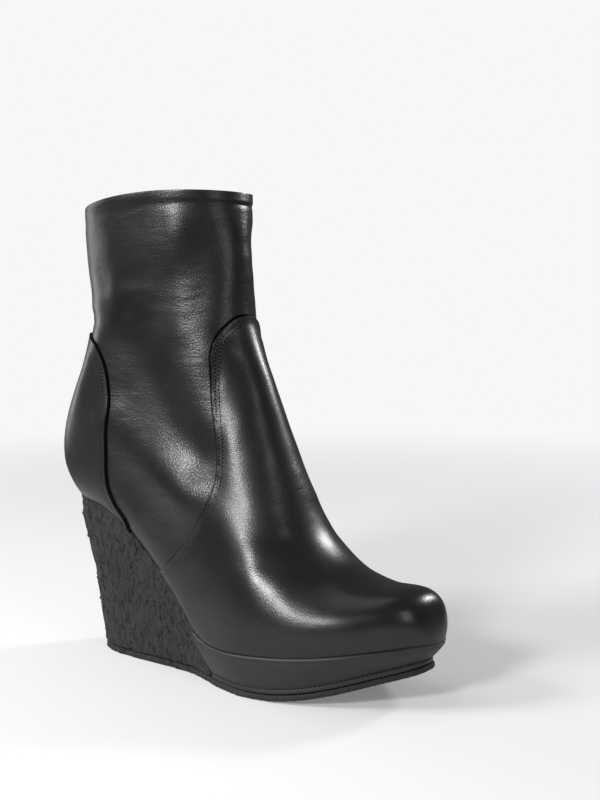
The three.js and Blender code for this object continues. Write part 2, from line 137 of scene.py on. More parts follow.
# in the leather's mirror the floor ends sooner and doesn't glow
for socket, mirrored_value, seen_value in (
    (shader.inputs["Emission Strength"], 0.1, 1.0),
    (far.inputs["From Max"], 0.5, 1.3),
):
    choice = tree.nodes.new("ShaderNodeMapRange")
    choice.inputs["To Min"].default_value = mirrored_value
    choice.inputs["To Max"].default_value = seen_value
    tree.links.new(looked_at.outputs["Is Camera Ray"], choice.inputs["Value"])
    tree.links.new(choice.outputs["Result"], socket)
shader.inputs["Roughness"].default_value = 1.0
shader.inputs["Specular IOR Level"].default_value = 0.0

world = bpy.data.worlds.new("studio")
scene.world = world
world.use_nodes = True
tree = world.node_tree
seen = tree.nodes["Background"]
seen.inputs["Color"].default_value = (PALE, PALE, PALE, 1)
mirrored = tree.nodes.new("ShaderNodeBackground")
mirrored.inputs["Color"].default_value = (1.0, 1.0, 1.02, 1)
mirrored.inputs["Strength"].default_value = 0.11
ray = tree.nodes.new("ShaderNodeLightPath")
choose = tree.nodes.new("ShaderNodeMixShader")
tree.links.new(ray.outputs["Is Camera Ray"], choose.inputs["Fac"])
tree.links.new(mirrored.outputs["Background"], choose.inputs[1])
tree.links.new(seen.outputs["Background"], choose.inputs[2])
tree.links.new(choose.outputs["Shader"], tree.nodes["World Output"].inputs["Surface"])

# azimuth and height in degrees, distance and size in metres, power in watts
PANELS = {
    "left panel": (-130, 33, 1.2, (0.36, 0.34), 9.0),
    "low panel": (-88, 24, 1.2, (0.24, 0.18), 9.5),
    "right panel": (-14, 16, 1.2, (0.2, 0.7), 1.7),
    "toe panel": (68, 26, 1.2, (0.2, 0.2), 5.0),
    "rear panel": (178, 8, 1.2, (0.25, 0.7), 1.8),
    "top panel": (-165, 66, 1.5, (1.3, 1.3), 5.0),
}
AIM = Vector((0, 0, 0.13))
for name, (azimuth, height, reach, size, watts) in PANELS.items():
    data = bpy.data.lights.new(name, "AREA")
    data.shape = "RECTANGLE"
    data.size, data.size_y = size
    data.energy = watts
    light = bpy.data.objects.new(name, data)
    scene.collection.objects.link(light)
    turn = Matrix.Rotation(math.radians(azimuth), 3, "Z") @ Matrix.Rotation(-math.radians(height), 3, "Y")
    light.location = AIM + turn @ Vector((reach, 0, 0))
    light.rotation_euler = (AIM - light.location).to_track_quat("-Z", "Y").to_euler()
print("lights:", len(PANELS))

# %% [markdown]
# Leather is several things at once: a deep, even colour, a gloss that the grain breaks up, and a net of fine
# creases where it bends. The grain is a cell pattern, and the creases are noise that is stretched along the floor.
# They could be put in each material, but shaft, vamp, counter and platform are one hide, so they share one node
# group and differ in its values.


# %% Groups of nodes
def group(name, inputs, outputs):
    """An empty node group with named number inputs and typed outputs."""
    tree = bpy.data.node_groups.new(name, "ShaderNodeTree")
    for socket, value in inputs.items():
        tree.interface.new_socket(socket, in_out="INPUT", socket_type="NodeSocketFloat").default_value = value
    for socket, kind in outputs.items():
        tree.interface.new_socket(socket, in_out="OUTPUT", socket_type=kind)
    return tree, tree.nodes.new("NodeGroupInput"), tree.nodes.new("NodeGroupOutput")


def maths(tree, operation, a, b=None, clamp=False):
    """A Math node's result; a and b are numbers or sockets."""
    node = tree.nodes.new("ShaderNodeMath")
    node.operation = operation
    node.use_clamp = clamp
    for socket, value in zip(node.inputs, (a, b)):
        if isinstance(value, (int, float)):
            socket.default_value = value
        elif value is not None:
            tree.links.new(value, socket)
    return node.outputs[0]


def pattern(tree, kind, scale, stretch=(1, 1, 1), turn=(0, 0, 0), **settings):
    """A texture on Object coordinates, which are turned and stretched first."""
    place = tree.nodes.new("ShaderNodeTexCoord")
    mapping = tree.nodes.new("ShaderNodeMapping")
    mapping.inputs["Rotation"].default_value = turn
    mapping.inputs["Scale"].default_value = stretch
    tree.links.new(place.outputs["Object"], mapping.inputs["Vector"])
    node = tree.nodes.new(kind)
    tree.links.new(mapping.outputs["Vector"], node.inputs["Vector"])
    if isinstance(scale, (int, float)):
        node.inputs["Scale"].default_value = scale
    else:
        tree.links.new(scale, node.inputs["Scale"])
    for key, value in settings.items():
        if key in node.inputs:
            node.inputs[key].default_value = value
        else:
            setattr(node, key, value)
    return node


# Heights are in millimetres.
leather_group, given, out = group(
    "leather surface",
    {"Grain Scale": 700.0, "Grain Height": 0.06, "Crease Scale": 200.0, "Crease Height": 0.3},
    {"Height": "NodeSocketFloat", "Patches": "NodeSocketFloat"},
)
cells = pattern(leather_group, "ShaderNodeTexVoronoi", given.outputs["Grain Scale"], feature="DISTANCE_TO_EDGE")
pebble = maths(leather_group, "MULTIPLY", cells.outputs["Distance"], 3.0, clamp=True)
creases = pattern(
    leather_group, "ShaderNodeTexNoise", given.outputs["Crease Scale"], stretch=(0.3, 0.3, 1), Detail=5.0,
    Roughness=0.62, Distortion=0.5,
)
broad = pattern(leather_group, "ShaderNodeTexNoise", 24.0, Detail=2.0)
patches = maths(
    leather_group, "MULTIPLY", maths(leather_group, "SUBTRACT", broad.outputs["Fac"], 0.38), 3.6, clamp=True
)
creased = maths(leather_group, "MULTIPLY", creases.outputs["Fac"], given.outputs["Crease Height"])
grained = maths(leather_group, "MULTIPLY", pebble, given.outputs["Grain Height"])
height = maths(leather_group, "ADD", maths(leather_group, "MULTIPLY", creased, patches), grained)
leather_group.links.new(height, out.inputs["Height"])
leather_group.links.new(patches, out.inputs["Patches"])


def blend_colours(tree, factor, first, second):
    """A mix of two colours, which are numbers or sockets."""
    node = tree.nodes.new("ShaderNodeMix")
    node.data_type = "RGBA"
    for socket, colour in (("A", first), ("B", second)):
        if isinstance(colour, tuple):
            node.inputs[socket].default_value = (*colour, 1)
        else:
            tree.links.new(colour, node.inputs[socket])
    tree.links.new(factor, node.inputs["Factor"])
    return node.outputs["Result"]


def span(tree, value, low, high, from_low=0.0, from_high=1.0):
    """A value taken from one range to another."""
    node = tree.nodes.new("ShaderNodeMapRange")
    for socket, number in zip(("From Min", "From Max", "To Min", "To Max"), (from_low, from_high, low, high)):
        node.inputs[socket].default_value = number
    tree.links.new(value, node.inputs["Value"])
    return node.outputs["Result"]


def relief(tree, shader, height, strength=1.0):
    """Puts a height in millimetres on the surface."""
    bump = tree.nodes.new("ShaderNodeBump")
    bump.inputs["Strength"].default_value = strength
    bump.inputs["Distance"].default_value = MM
    tree.links.new(height, bump.inputs["Height"])
    tree.links.new(bump.outputs["Normal"], shader.inputs["Normal"])


def leather(name, colour, roughness, grain=0.035, crease=0.3, crease_scale=200.0, seams_with_painted_shade=()):
    """A leather with its own gloss and relief; the seams are stored distances, and where one is near 0, beside an
    overlay's edge, the leather gets painted shade: near black and without gloss.
    """
    material, tree, shader = fresh_material(name)
    surface = tree.nodes.new("ShaderNodeGroup")
    surface.node_tree = leather_group
    surface.inputs["Grain Height"].default_value = grain
    surface.inputs["Crease Height"].default_value = crease
    surface.inputs["Crease Scale"].default_value = crease_scale
    patches = surface.outputs["Patches"]
    tree.links.new(span(tree, patches, roughness - 0.02, roughness + 0.05), shader.inputs["Roughness"])
    worn = tuple(1.35 * c for c in colour)
    paint = blend_colours(tree, patches, colour, worn)
    shine_outside_painted_shade = None
    for seam in seams_with_painted_shade:
        inside = tree.nodes.new("ShaderNodeAttribute")
        inside.attribute_name = seam
        away = maths(tree, "ABSOLUTE", inside.outputs["Fac"], 0.0)
        past_painted_shade = span(tree, away, 0.0, 1.0, *SEAM_PAINTED_SHADE)
        # painted shade: the leather turns near black along the overlay's edge, and below it also loses its gloss
        paint = blend_colours(tree, past_painted_shade, (0.001, 0.001, 0.001), paint)
        shine_outside_painted_shade = past_painted_shade if shine_outside_painted_shade is None else maths(tree, "MULTIPLY", shine_outside_painted_shade, past_painted_shade)
    if shine_outside_painted_shade is not None:
        tree.links.new(maths(tree, "MULTIPLY", shine_outside_painted_shade, 0.5), shader.inputs["Specular IOR Level"])
    tree.links.new(paint, shader.inputs["Base Color"])
    relief(tree, shader, surface.outputs["Height"])
    return material


SEAM_PAINTED_SHADE = (0.55 * MM, 1.25 * MM)  # painted shade beside an overlay's edge: full within the first distance, gone past the second
BLACK = (0.009, 0.009, 0.0098)
shaft_leather = leather("shaft leather", BLACK, 0.32, crease=0.36, seams_with_painted_shade=("vamp_edge", "counter_edge"))
vamp_leather = leather("vamp leather", BLACK, 0.3, grain=0.02, crease=0.17, crease_scale=260.0)
counter_leather = leather("counter leather", BLACK, 0.31, crease=0.12)
lining_leather = leather("lining leather", (0.022, 0.02, 0.019), 0.62, crease=0.1)
cover_leather = leather("platform leather", (0.0135, 0.0135, 0.0145), 0.46, grain=0.02, crease=0.1)
print("leather group:", len(leather_group.nodes), "nodes")

# %% [markdown]
# The wedge has a cover of its own: matt, crackled and dragged into streaks that run down and forward. Its large
# relief is in the mesh. The material adds what is finer, as two stretched noises, one for streaks and one for
# pits. Thread, rubber and the leather's cut edge are simple, but none is one flat colour.

# %% Wedge cover, rubber and thread
STREAK_TURN = math.radians(22)  # streaks lean forward this much on their way down
material, tree, shader = fresh_material("crackled cover")
crackled_cover = material
streaks = pattern(
    tree, "ShaderNodeTexNoise", 1150.0, stretch=(1, 1, 0.13), turn=(0, STREAK_TURN, 0), Detail=4.0, Roughness=0.75
)
pits = pattern(
    tree, "ShaderNodeTexNoise", 520.0, stretch=(1, 1, 0.38), turn=(0, STREAK_TURN, 0), Detail=5.0, Roughness=0.8
)
pit = span(tree, pits.outputs["Fac"], 0.0, 1.0, 0.36, 0.52)
streak = streaks.outputs["Fac"]
# partly the cover's own streaky tone, partly painted shade: the colour follows the fine relief, darker in the pits and
# low streaks and lighter on the raised parts
tone_with_relief_shade = maths(tree, "MULTIPLY", pit, streak, clamp=True)
paint = blend_colours(tree, tone_with_relief_shade, (0.006, 0.006, 0.006), (0.047, 0.047, 0.048))
tree.links.new(paint, shader.inputs["Base Color"])
tree.links.new(span(tree, pit, 0.95, 0.72), shader.inputs["Roughness"])
shader.inputs["Specular IOR Level"].default_value = 0.35
relief(tree, shader, maths(tree, "ADD", maths(tree, "MULTIPLY", streak, 0.35), maths(tree, "MULTIPLY", pit, 0.15)))

material, tree, shader = fresh_material("sole rubber")
sole_rubber = material
specks = pattern(tree, "ShaderNodeTexNoise", 700.0, Detail=3.0)
paint = blend_colours(tree, specks.outputs["Fac"], (0.008, 0.008, 0.008), (0.022, 0.022, 0.023))
tree.links.new(paint, shader.inputs["Base Color"])
tree.links.new(span(tree, specks.outputs["Fac"], 0.7, 0.9), shader.inputs["Roughness"])
relief(tree, shader, maths(tree, "MULTIPLY", specks.outputs["Fac"], 0.3))

material, tree, shader = fresh_material("waxed thread")
waxed_thread = material
twist = pattern(tree, "ShaderNodeTexNoise", 1500.0, Detail=1.0)
paint = blend_colours(tree, twist.outputs["Fac"], (0.006, 0.006, 0.006), (0.02, 0.02, 0.021))
tree.links.new(paint, shader.inputs["Base Color"])
tree.links.new(span(tree, twist.outputs["Fac"], 0.4, 0.6), shader.inputs["Roughness"])

material, tree, shader = fresh_material("cut edge")
cut_edge = material
fibres = pattern(tree, "ShaderNodeTexNoise", 1200.0, Detail=2.0)
paint = blend_colours(tree, fibres.outputs["Fac"], (0.002, 0.002, 0.002), (0.007, 0.007, 0.007))
tree.links.new(paint, shader.inputs["Base Color"])
shader.inputs["Roughness"].default_value = 0.85
shader.inputs["Specular IOR Level"].default_value = 0.15

# painted shade: each needle hole is a near-black, matt ball without gloss that stands for the dark inside the hole;
# the noise only varies that black
material, tree, shader = fresh_material("painted hole shade")
hole_shade_paint = material
hole_shade_mottle = pattern(tree, "ShaderNodeTexNoise", 1500.0, Detail=1.0)
paint = blend_colours(tree, hole_shade_mottle.outputs["Fac"], (0.001, 0.001, 0.001), (0.004, 0.004, 0.004))
tree.links.new(paint, shader.inputs["Base Color"])
shader.inputs["Roughness"].default_value = 1.0
shader.inputs["Specular IOR Level"].default_value = 0.0
print("materials:", [m.name for m in bpy.data.materials])

# %% [markdown]
# The upper is lasted leather: one skin drawn over a last. The CAD solid has its true form with flat facets, so its
# outer skin is taken from a copy, its triangles are paired to quads and it is subdivided twice. A face belongs to
# the outer skin when nothing of the upper stands in front of it. A new skin could be lofted instead, but it would
# have to be fitted to the solid, and this one already lies on it.


# %% Outer skin of the upper
def merged_copy(node):
    """A copy of a CAD node's mesh with its loose triangles joined."""
    bm = bmesh.new()
    bm.from_mesh(nodes[node].data)
    bmesh.ops.remove_doubles(bm, verts=bm.verts, dist=0.01 * MM)
    return bm


def through_modifier(bm, kind, **settings):
    """The mesh after one modifier, which is applied at once."""
    mesh = bpy.data.meshes.new("step")
    bm.to_mesh(mesh)
    bm.free()
    holder = bpy.data.objects.new("step", mesh)
    scene.collection.objects.link(holder)
    modifier = holder.modifiers.new("step", kind)
    for key, value in settings.items():
        setattr(modifier, key, value)
    done = bpy.data.meshes.new_from_object(holder.evaluated_get(bpy.context.evaluated_depsgraph_get()))
    bpy.data.objects.remove(holder)
    made = bmesh.new()
    made.from_mesh(done)
    bpy.data.meshes.remove(done)
    return made


skin = merged_copy("upper")
skin.normal_update()
wall = BVHTree.FromBMesh(skin)
rim_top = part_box("upper")[1].z
RIM_FALL = 24 * MM  # the rim is highest in front, and nowhere lower than this below that
hidden = []
for face in skin.faces:
    middle = face.calc_center_median()
    covered = wall.ray_cast(middle + face.normal * 0.2 * MM, face.normal)[0] is not None
    on_rim = middle.z > rim_top - RIM_FALL and face.normal.z > 0.4
    if covered or on_rim:
        hidden.append(face)
bmesh.ops.delete(skin, geom=hidden, context="FACES")


def linked_faces(bm):
    """The faces of a mesh in groups that share edges, the largest group first."""
    waiting, groups = set(bm.faces), []
    while waiting:
        stack, group_faces = [waiting.pop()], []
        while stack:
            face = stack.pop()
            group_faces.append(face)
            for other in (f for e in face.edges for f in e.link_faces if f in waiting):
                waiting.discard(other)
                stack.append(other)
        groups.append(group_faces)
    return sorted(groups, key=len, reverse=True)


for strays in linked_faces(skin)[1:]:
    bmesh.ops.delete(skin, geom=strays, context="FACES")
bmesh.ops.join_triangles(skin, faces=skin.faces, angle_face_threshold=math.pi, angle_shape_threshold=math.pi)
skin = through_modifier(skin, "SUBSURF", levels=2, render_levels=2)
print("skin:", len(skin.faces), "faces, open edges", sum(e.is_boundary for e in skin.edges))

# %% [markdown]
# Where the foot and the hand have bent it, the leather stands in soft folds. They could be sculpted, but a list is
# easier to change: each fold is a line of the side view with a height and a reach, and points of the skin near it
# move out or in. The collar's edge is folded over, so the first millimetres under the rim stand out a little.

# %% Soft folds
# start and end: along the boot and above the floor, in mm; rise: mm out of the surface; reach: mm to each side.
FOLDS = [
    {"name": "quarter ridge", "start": (60, 132), "end": (112, 97), "rise": 3.9, "reach": 14},
    {"name": "ankle trough", "start": (72, 176), "end": (118, 118), "rise": -2.4, "reach": 12},
    {"name": "shaft trough", "start": (48, 232), "end": (66, 150), "rise": -0.7, "reach": 9},
    {"name": "shaft front", "start": (104, 240), "end": (102, 184), "rise": 0.9, "reach": 8},
    {"name": "shaft back", "start": (26, 245), "end": (24, 196), "rise": 0.8, "reach": 6},
    {"name": "wrinkle", "start": (34, 197), "end": (84, 205), "rise": 0.7, "reach": 5},
    {"name": "wrinkle below", "start": (30, 189), "end": (78, 188), "rise": -0.6, "reach": 4},
    {"name": "vamp ridge", "start": (128, 172), "end": (160, 98), "rise": 0.9, "reach": 8},
    {"name": "ball crease", "start": (136, 88), "end": (158, 60), "rise": 0.8, "reach": 9},
    {"name": "toe break", "start": (172, 78), "end": (190, 62), "rise": -0.7, "reach": 5},
]
RIM_BAND = 5.5 * MM
RIM_SWELL = 0.4 * MM
RIM_GROOVE = 0.25 * MM
BROAD_WAVE = 0.4  # mm
SMALL_WAVE = 0.16
SHAFT_WRINKLE = 0.14


def near(point, start, end):
    """Distance from a point of the side view to a line between two others."""
    line = end - start
    share = min(max((point - start).dot(line) / line.length_squared, 0), 1)
    return (point - start - line * share).length


def rim_tree(bm):
    """The collar's edge, for looking up how far a point lies below it."""
    rim = [v.co.copy() for v in bm.verts if v.is_boundary and v.co.z > rim_top - RIM_FALL]
    tree = kdtree.KDTree(len(rim))
    for i, co in enumerate(rim):
        tree.insert(co, i)
    tree.balance()
    return tree


def ramp(value, start, end):
    """0 before start, 1 after end, smooth between."""
    share = min(max((value - start) / (end - start), 0), 1)
    return share * share * (3 - 2 * share)


folds = [(Vector(f["start"]), Vector(f["end"]), f["rise"], f["reach"]) for f in FOLDS]
rim = rim_tree(skin)
rim_layer = skin.verts.layers.float.new("rim")
skin.normal_update()
for vertex in skin.verts:
    flat = Vector(((vertex.co.x - LAST_BACK) / MM, vertex.co.z / MM))
    rise = sum(r * math.exp(-((near(flat, a, b) / reach) ** 2)) for a, b, r, reach in folds)
    rise += BROAD_WAVE * noise.noise(vertex.co * 38) + SMALL_WAVE * noise.noise(vertex.co * 95)
    drawn = Vector((vertex.co.x * 26, vertex.co.y * 26, vertex.co.z * 150))
    on_shaft = ramp(flat.y, 165, 200) * (0.35 + ramp(noise.noise(vertex.co * 20), -0.2, 0.3))
    rise += SHAFT_WRINKLE * on_shaft * noise.noise(drawn)
    below = rim.find(vertex.co)[2]
    vertex[rim_layer] = below
    held = ramp(below, 0, 2.5 * RIM_BAND)  # the folded edge keeps its shape
    swell = RIM_SWELL * (1 - ramp(below, 0.85 * RIM_BAND, 1.15 * RIM_BAND))
    swell -= RIM_GROOVE * math.exp(-(((below - 1.2 * RIM_BAND) / (0.2 * RIM_BAND)) ** 2))
    vertex.co += vertex.normal * (rise * held * MM + swell)
skin.normal_update()
print("folds:", len(FOLDS))

# %% [markdown]
# Vamp and counter are cut from the same hide and laid over the upper. Their edges are curves in the side view. The
# skin is split along such a curve: each edge of the mesh that crosses it gets a point exactly there, the points are
# joined across the faces, and the faces beyond the curve go. A Boolean with a cutter would leave long thin faces
# there, and this keeps the skin's own flow. Each point also stores how far inside the edge it lies.

# %% Seam curves
VAMP_SEAM = [
    (140, 193.2), (130, 192.6), (127.2, 190.8), (124.4, 186.4), (121.9, 181.2), (120.6, 175.5), (120.4, 168.0),
    (122.8, 147.8), (127.1, 127.3),
    (129.8, 108), (128.0, 96.7), (123.3, 86.0), (115.0, 74.6), (106.1, 65.5), (92.8, 54.2), (91.8, 48), (91.8, 28),
]
COUNTER_SEAM = [
    (-10, 183), (30, 181.5), (40.3, 177.9), (46.6, 174.6), (50.6, 170), (54.2, 161.8), (56.7, 150.8), (58.2, 141),
    (57.5, 131.0), (54.8, 120.0), (52.8, 108), (53.0, 99), (54.6, 93), (57.9, 86.5), (64.2, 79.8), (66, 74), (66, 50),
]
CURVE_STEPS = 8


def smooth_curve(points):
    """A smooth curve of the side view through points in mm, as rows of (x, z) in metres."""
    ends = [along(*p) for p in points]
    padded = [2 * ends[0] - ends[1], *ends, 2 * ends[-1] - ends[-2]]
    made = []
    for a, b, c, d in zip(padded, padded[1:], padded[2:], padded[3:]):
        for t in (i / CURVE_STEPS for i in range(CURVE_STEPS)):
            made.append(
                (2 * b + (c - a) * t + (2 * a - 5 * b + 4 * c - d) * t**2 + (3 * b - a - 3 * c + d) * t**3) / 2
            )
    return np.array([(p.x, p.z) for p in (*made, ends[-1])])


def inside_distances(bm, curve, side):
    """How far each vertex lies inside the curve in the side view; side is 1 for its left, -1 for its right."""
    flat = np.array([(v.co.x, v.co.z) for v in bm.verts])
    start, line = curve[:-1], np.diff(curve, axis=0)
    away = flat[:, None] - start
    share = np.clip((away * line).sum(2) / (line**2).sum(1), 0, 1)
    away = away - share[..., None] * line
    length = np.sqrt((away**2).sum(2))
    rows = np.arange(len(flat))
    nearest = length.argmin(1)
    turn = line[nearest, 0] * away[rows, nearest, 1] - line[nearest, 1] * away[rows, nearest, 0]
    return np.where(turn > 0, side, -side) * length[rows, nearest]


def cut_along(bm, curve, side):
    """Keeps the part of bm on one side of the curve, and stores each vertex's distance inside it."""
    bm.verts.index_update()
    inside = inside_distances(bm, curve, side)
    layer = bm.verts.layers.float.new("inside")
    for vertex, value in zip(bm.verts, inside):
        vertex[layer] = value
    crossing = [e for e in bm.edges if (e.verts[0][layer] > 0) != (e.verts[1][layer] > 0)]
    shares = {}
    for e in crossing:
        a, b = (v[layer] for v in e.verts)
        shares[e] = min(max(a / (a - b), 0.02), 0.98)
    split = bmesh.ops.bisect_edges(bm, edges=crossing, cuts=1, edge_percents=shares)
    fresh = [g for g in split["geom_split"] if isinstance(g, bmesh.types.BMVert)]
    for vertex in fresh:
        vertex[layer] = 0.0
    bmesh.ops.connect_verts(bm, verts=fresh)
    beyond = [f for f in bm.faces if sum(v[layer] for v in f.verts) < 0]
    bmesh.ops.delete(bm, geom=beyond, context="FACES")
    bm.normal_update()


VAMP_SIDE, COUNTER_SIDE = 1, -1
# the distances to the overlays' edges stay on the quarters' skin, and the shaft leather paints shade along them
for seam, points, side in (("vamp_edge", VAMP_SEAM, VAMP_SIDE), ("counter_edge", COUNTER_SEAM, COUNTER_SIDE)):
    edge_layer = skin.verts.layers.float.new(seam)
    for vertex, value in zip(skin.verts, inside_distances(skin, smooth_curve(points), side)):
        vertex[edge_layer] = value
vamp_skin, counter_skin = skin.copy(), skin.copy()
cut_along(vamp_skin, smooth_curve(VAMP_SEAM), VAMP_SIDE)
cut_along(counter_skin, smooth_curve(COUNTER_SEAM), COUNTER_SIDE)
print("vamp", len(vamp_skin.faces), "counter", len(counter_skin.faces), "faces")


# %% Pieces with a thickness
def piece(name, bm, slot, materials, *replaced):
    """A finished piece: smooth shaded, riding on the boot and standing for the CAD nodes that it replaces."""
    mesh = bpy.data.meshes.new(name)
    bm.to_mesh(mesh)
    bm.free()
    for material in materials:
        mesh.materials.append(material)
    mesh.polygons.foreach_set("use_smooth", [True] * len(mesh.polygons))
    made = bpy.data.objects.new(name, mesh)
    scene.collection.objects.link(made)
    if replaced:
        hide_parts(*replaced)
    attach(made, "root")
    print(name, len(mesh.polygons), "faces before its modifiers")
    return made


def thicken(made, thickness, outward, edge, inner_material=0, rim_material=0):
    """Leather's thickness, with its edges rounded."""
    solid = made.modifiers.new("thickness", "SOLIDIFY")
    solid.thickness = thickness
    solid.offset = 1 if outward else -1
    solid.use_even_offset = True
    solid.material_offset = inner_material
    solid.material_offset_rim = rim_material
    bevel = made.modifiers.new("edge", "BEVEL")
    bevel.width = edge
    bevel.segments = 3
    bevel.limit_method = "ANGLE"
    bevel.angle_limit = math.radians(50)
    bevel.harden_normals = True


WALL = 1.8 * MM
OVERLAY = 1.5 * MM
LIFT = 0.08 * MM  # keeps the overlays' backs off the upper's face
STITCH_ROWS = (1.7 * MM, 3.5 * MM)
PULLED = 0.3 * MM  # how far the rows draw the leather down


def lifted(bm, distance):
    """Lays the overlay over the upper, with a trough along its stitches and so a rolled edge beside them."""
    layer = bm.verts.layers.float["inside"]
    for vertex in bm.verts:
        inside = vertex[layer] / MM
        pulled = ramp(inside, 0.3, 1.7) * (1 - ramp(inside, 3.5, 6.0))
        vertex.co += vertex.normal * (distance - PULLED * pulled)
    return bm


quarters = piece("quarters", skin.copy(), "upper_leather", [shaft_leather, lining_leather], "upper")
thicken(quarters, WALL, False, 0.7 * MM, inner_material=1)
vamp = piece("vamp_overlay", lifted(vamp_skin.copy(), LIFT), "upper_leather", [vamp_leather, cut_edge], "vamp")
thicken(vamp, OVERLAY, True, 0.35 * MM, rim_material=1)
counter_skin_lifted = lifted(counter_skin.copy(), LIFT)
counter = piece("counter_overlay", counter_skin_lifted, "upper_leather", [counter_leather, cut_edge], "counter")
thicken(counter, OVERLAY, True, 0.35 * MM, rim_material=1)

# %% [markdown]
# Two rows of stitches hold each overlay, close inside its edge. A row follows the surface at one distance from the
# edge, and the stored distances give that line: it crosses a mesh edge where the value passes the level, and the
# crossings are chained from face to face. Each stitch is a small drawn-out ball that lies half in the leather. The
# thread has drawn the overlay down between the rows, and so its edge stands up as a narrow roll.


# %% Rows of stitches
def level_line(bm, layer, level, keep):
    """The longest line along which the stored value has that level, as (point, normal) pairs."""
    points = {}
    for e in bm.edges:
        a, b = e.verts
        if (a[layer] > level) != (b[layer] > level):
            share = (level - a[layer]) / (b[layer] - a[layer])
            spot, normal = a.co.lerp(b.co, share), a.normal.lerp(b.normal, share).normalized()
            if keep(spot, normal):
                points[e] = (spot, normal)
    links = {e: [] for e in points}
    for f in bm.faces:
        met = [e for e in f.edges if e in points]
        if len(met) == 2:
            links[met[0]].append(met[1])
            links[met[1]].append(met[0])
    lines, used = [], set()
    for first in sorted(points, key=lambda e: len(links[e])):
        if first in used:
            continue
        chain = [first]
        used.add(first)
        while True:
            onward = [e for e in links[chain[-1]] if e not in used]
            if not onward:
                break
            chain.append(onward[0])
            used.add(onward[0])
        lines.append([points[e] for e in chain])
    return max(lines, key=len)


def evened(line, step, rounds=3):
    """The same line with its corners eased, at even steps along it."""
    spots = np.array([p for p, _ in line])
    normals = np.array([n for _, n in line])
    for _ in range(rounds):
        spots[1:-1] = (spots[:-2] + 2 * spots[1:-1] + spots[2:]) / 4
    length = np.concatenate([[0], np.cumsum(np.linalg.norm(np.diff(spots, axis=0), axis=1))])
    at = np.arange(0, length[-1], step)
    return [
        (
            Vector([np.interp(t, length, spots[:, i]) for i in range(3)]),
            Vector([np.interp(t, length, normals[:, i]) for i in range(3)]).normalized(),
        )
        for t in at
    ]


STITCH_PITCH = 2.0 * MM
STITCH_HALF = (0.7 * MM, 0.26 * MM, 0.2 * MM)  # along the row, across it, out of the leather
HOLE_HALF = (0.46 * MM, 0.46 * MM, 0.14 * MM)
THREAD, HOLE_SHADE = 0, 1  # the piece's materials: thread, and near black for the painted shade of the needle holes


def ball_mesh(material_index):
    """A small ball, as the mesh that all stitches, or all dark balls of painted shade at the needle's piercings, are
    copies of.
    """
    ball = bmesh.new()
    bmesh.ops.create_uvsphere(ball, u_segments=8, v_segments=5, radius=1)
    for face in ball.faces:
        face.material_index = material_index
    mesh = bpy.data.meshes.new("ball")
    ball.to_mesh(mesh)
    ball.free()
    return mesh


def add_copies(bm, mesh, places):
    """Adds a copy of the mesh at each place. The mesh is put in place and back, so no operator sees all copies."""
    for place in places:
        mesh.transform(place)
        bm.from_mesh(mesh)
        mesh.transform(place.inverted())
    return len(places)


def set_on(spot, forward, normal, half):
    """The place of a drawn-out ball on a surface, along a row."""
    side = normal.cross(forward).normalized()
    turn = Matrix((forward, side, forward.cross(side))).transposed().to_4x4()
    return Matrix.Translation(spot) @ turn @ Matrix.Diagonal((*half, 1))


# the balls between the stitches are near black: painted shade for the needle holes
stitch_ball, hole_shade_ball = ball_mesh(THREAD), ball_mesh(HOLE_SHADE)


def add_stitches(bm, line, outward, pitch=STITCH_PITCH):
    """Stitches, and by turns with them near-black balls of painted shade where the needle went through, at a height
    over the surface that the line lies on.
    """
    threads, hole_shades = [], []
    steps = evened(line, pitch)
    for (a, normal), (b, _) in zip(steps, steps[1:]):
        forward = (b - a).normalized()
        threads.append(set_on((a + b) / 2 + normal * outward, forward, normal, STITCH_HALF))
        hole_shades.append(set_on(a + normal * outward, forward, normal, HOLE_HALF))
    add_copies(bm, hole_shade_ball, hole_shades)
    return add_copies(bm, stitch_ball, threads)


def on_side(spot, normal):
    """Not under the foot, where the sole hides the leather."""
    return normal.z > -0.45


for name, cut_skin in (("vamp_stitches", vamp_skin), ("counter_stitches", counter_skin)):
    thread = bmesh.new()
    layer = cut_skin.verts.layers.float["inside"]
    lines = [level_line(cut_skin, layer, row, on_side) for row in STITCH_ROWS]
    count = sum(add_stitches(thread, line, LIFT + OVERLAY - PULLED) for line in lines)
    print(count, "stitches:", end=" ")
    piece(name, thread, "upper_leather", [waxed_thread, hole_shade_paint])
vamp_skin.free()
counter_skin.free()

# %% [markdown]
# The platform is a block in a leather cover that is drawn round its edge: a small roll under the upper, a plain
# side, a row of stitches near the floor. A copy of the CAD solid would show its facets in so smooth a side. The
# cover is therefore swept: its profile is drawn once, and is extruded from station to station round the toe. At
# each station a ray from outside finds the solid's upper and lower edge, and the two lines are eased. In front the
# solid's thin rim has a slot through it, a fault that the real one hasn't, so the lip is carried over it in an arc.


# %% Levels of the sole
PROFILE_STEP = 3 * MM


def profile(node, highest):
    """A node's highest or lowest level along the boot, as a function of x."""
    co = np.array([v.co for v in nodes[node].data.vertices])
    low, high = co[:, 0].min(), co[:, 0].max()
    at = np.arange(low, high + PROFILE_STEP, PROFILE_STEP)
    levels = []
    for x in at:
        band = co[np.abs(co[:, 0] - x) < 1.6 * PROFILE_STEP, 2]
        levels.append((band.max() if highest else band.min()) if len(band) else np.nan)
    levels = np.array(levels)
    known = ~np.isnan(levels)
    return lambda x: float(np.interp(x, at[known], levels[known]))


platform_top, platform_foot = profile("platform", True), profile("platform", False)
wedge_top = profile("wedge", True)

